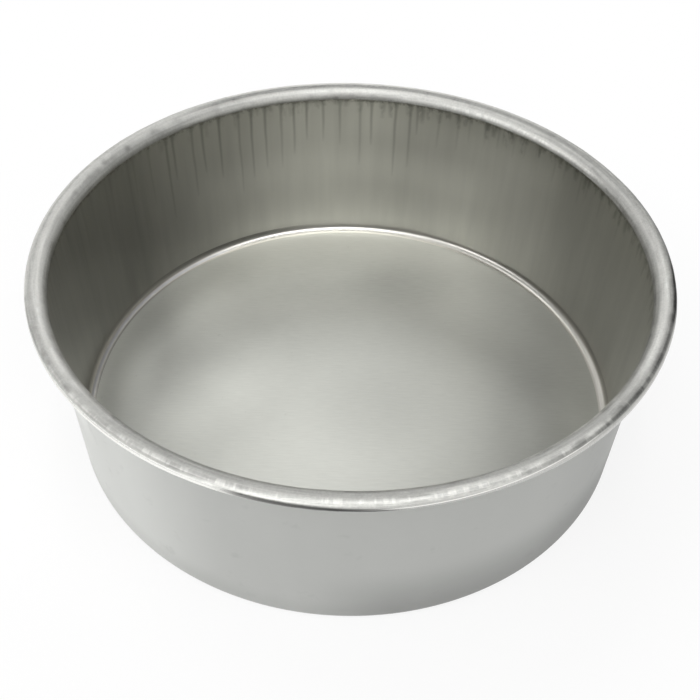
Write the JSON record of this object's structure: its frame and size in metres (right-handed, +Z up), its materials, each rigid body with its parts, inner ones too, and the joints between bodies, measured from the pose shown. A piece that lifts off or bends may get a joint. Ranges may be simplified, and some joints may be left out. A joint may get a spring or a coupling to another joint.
{
  "type": "cake tin",
  "caption": "Round deep cake tin in bare aluminium: drawn one-piece pan with a flat fixed base, softly tapered wall and a rolled rim closed round a stiffening wire.",
  "frame": {"origin": "middle of the underside, on the surface that the tin stands on", "axes": "+Z up along the tin's round axis; +X and +Y lie in the plane of the base, with -Y towards the viewer of the picture"},
  "size_m": [0.238, 0.238, 0.079],
  "materials": {
    "tin_body": "mill-finish sheet aluminium, drawn and left bare, satin, with fine rolling grain and draw marks",
    "rim_wire": "plain drawn steel wire, closed inside the rim and out of sight"
  },
  "bodies": {
    "root": {"tin_body": "tin_body", "rim_wire": "rim_wire"}
  },
  "joints": []
}
